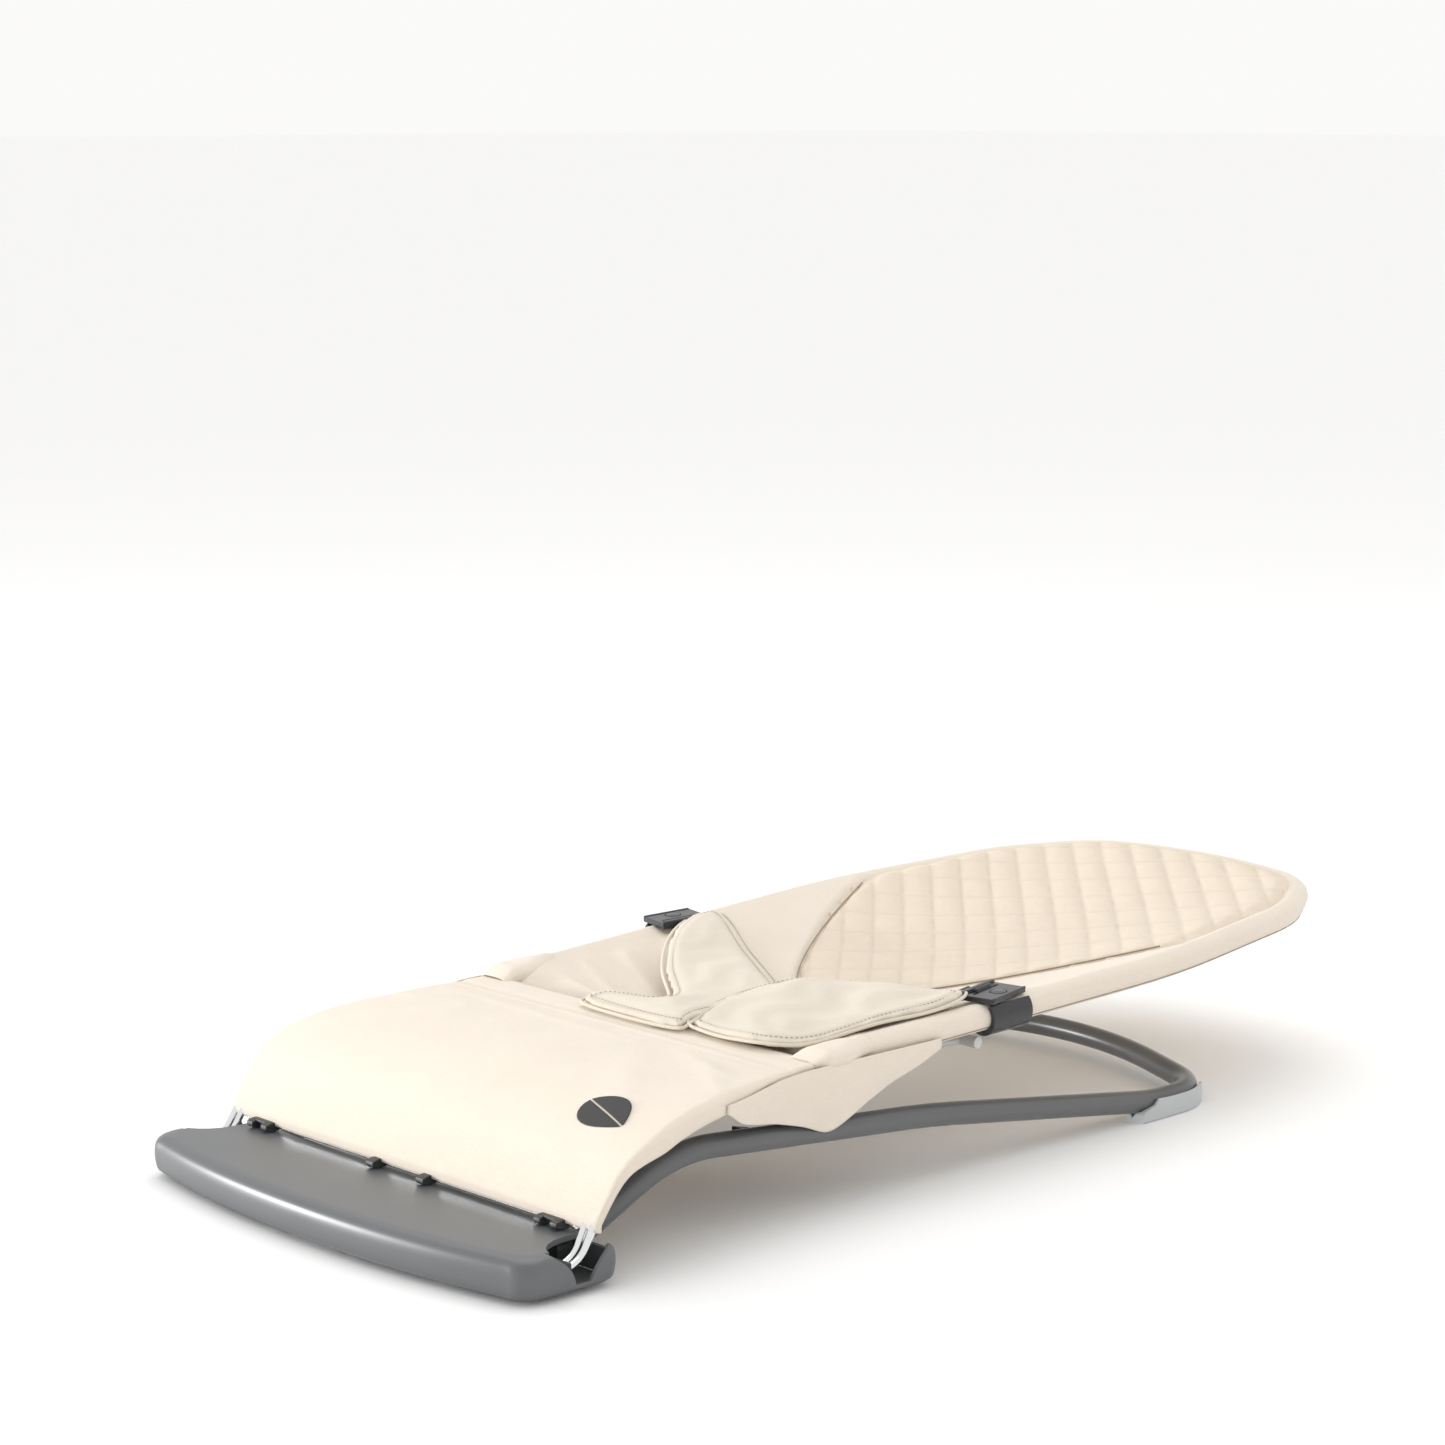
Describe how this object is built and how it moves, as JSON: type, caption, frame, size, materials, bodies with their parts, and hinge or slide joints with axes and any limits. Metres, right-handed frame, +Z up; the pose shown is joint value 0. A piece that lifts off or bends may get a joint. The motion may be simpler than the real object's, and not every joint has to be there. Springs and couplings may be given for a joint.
{
  "type": "baby bouncer seat",
  "caption": "Folding fabric bouncer seat lying flat: broad plastic foot, bent base tube, spring rods, cloth seat with padded harness and two rail buckles.",
  "frame": {"origin": "on the floor under the middle of the object's box", "axes": "+X to the sitter's left, +Y from the front foot to the head end, +Z up"},
  "size_m": [0.3996, 0.8945, 0.1307],
  "materials": {
    "foot_plastic": "fine satin grain",
    "pad_rubber": "matt",
    "screw_steel": "zinc plated",
    "pin_steel": "ground",
    "frame_paint": "satin powder coat",
    "hoop_steel": "plain tube",
    "shoe_rubber": "satin",
    "rod_chrome": "bright",
    "strut_chrome": "bright",
    "black_plastic": "fine grain",
    "buckle_plastic": "satin gloss",
    "button_plastic": "satin gloss",
    "seat_cloth": "plain cotton weave",
    "quilted_cloth": "quilted cotton",
    "harness_cloth": "padded cotton",
    "webbing": "woven webbing"
  },
  "bodies": {
    "base": {"foot_cover": "foot_plastic", "foot_tray": "foot_plastic", "foot_center_pad": "pad_rubber", "foot_pad_left": "pad_rubber", "foot_pad_right": "pad_rubber", "foot_screws": "screw_steel", "hinge_shaft": "pin_steel", "tube_clamp_left": "black_plastic", "tube_clamp_right": "black_plastic", "base_tube": "frame_paint", "rear_foot_left": "shoe_rubber", "rear_foot_right": "shoe_rubber", "rack_left": "black_plastic", "rack_right": "black_plastic", "rack_screws": "screw_steel"},
    "spring_frame": {"rod_anchor_left": "black_plastic", "rod_anchor_right": "black_plastic", "rod_outer_left": "rod_chrome", "rod_outer_right": "rod_chrome", "rod_inner_left": "rod_chrome", "rod_inner_right": "rod_chrome", "hem_wire": "rod_chrome", "hem_clip_left": "black_plastic", "hem_clip_right": "black_plastic", "hem_studs": "black_plastic", "knee_bracket_left": "black_plastic", "knee_bracket_right": "black_plastic", "knee_bar": "pin_steel", "rail_pin_left": "pin_steel", "rail_pin_right": "pin_steel", "strut_pin_left": "pin_steel", "strut_pin_right": "pin_steel", "front_panel": "seat_cloth", "side_flap_left": "seat_cloth", "side_flap_right": "seat_cloth"},
    "strut": {"strut_arm_left": "strut_chrome", "strut_arm_right": "strut_chrome", "strut_bar": "strut_chrome", "strut_grips": "black_plastic"},
    "seat": {"seat_hoop": "hoop_steel", "rail_plug_left": "black_plastic", "rail_plug_right": "black_plastic", "rail_sleeve": "seat_cloth", "seat_sling": "seat_cloth", "back_panel": "quilted_cloth", "harness_bib": "harness_cloth", "harness_strap_left": "webbing", "harness_strap_right": "webbing", "rail_clip_left": "buckle_plastic", "rail_clip_right": "buckle_plastic"},
    "plate_left": {"buckle_plate_left": "buckle_plastic"},
    "plate_right": {"buckle_plate_right": "buckle_plastic"},
    "button_left": {"buckle_button_left": "button_plastic"},
    "button_right": {"buckle_button_right": "button_plastic"}
  },
  "joints": [
    {"name": "seat_fold", "type": "hinge", "parent": "base", "child": "spring_frame", "pos_m": [0, -0.3975, 0.016], "axis": [1, 0, 0], "range_deg": [0, 33]},
    {"name": "bounce", "type": "hinge", "parent": "spring_frame", "child": "seat", "pos_m": [0, -0.1375, 0.097], "axis": [1, 0, 0], "range_deg": [-2, 3], "stiffness_Nm_per_rad": 150},
    {"name": "strut_swing", "type": "hinge", "parent": "spring_frame", "child": "strut", "pos_m": [0, -0.1415, 0.084], "axis": [-1, 0, 0], "range_deg": [0, 112.5]},
    {"name": "buckle_slide_left", "type": "slide", "parent": "seat", "child": "plate_left", "axis": [-0.9848, -0.1735, -0.0073], "range_m": [0, 0.004]},
    {"name": "buckle_slide_right", "type": "slide", "parent": "seat", "child": "plate_right", "axis": [0.9848, -0.1735, -0.0073], "range_m": [0, 0.004]},
    {"name": "button_press_left", "type": "slide", "parent": "plate_left", "child": "button_left", "axis": [0, 0.0419, -0.9991], "range_m": [0, 0.0015], "stiffness_N_per_m": 400},
    {"name": "button_press_right", "type": "slide", "parent": "plate_right", "child": "button_right", "axis": [0, 0.0419, -0.9991], "range_m": [0, 0.0015], "stiffness_N_per_m": 400}
  ],
  "couplings": [
    {"joint": "strut_swing", "follows": "seat_fold", "ratio": 3.406}
  ]
}
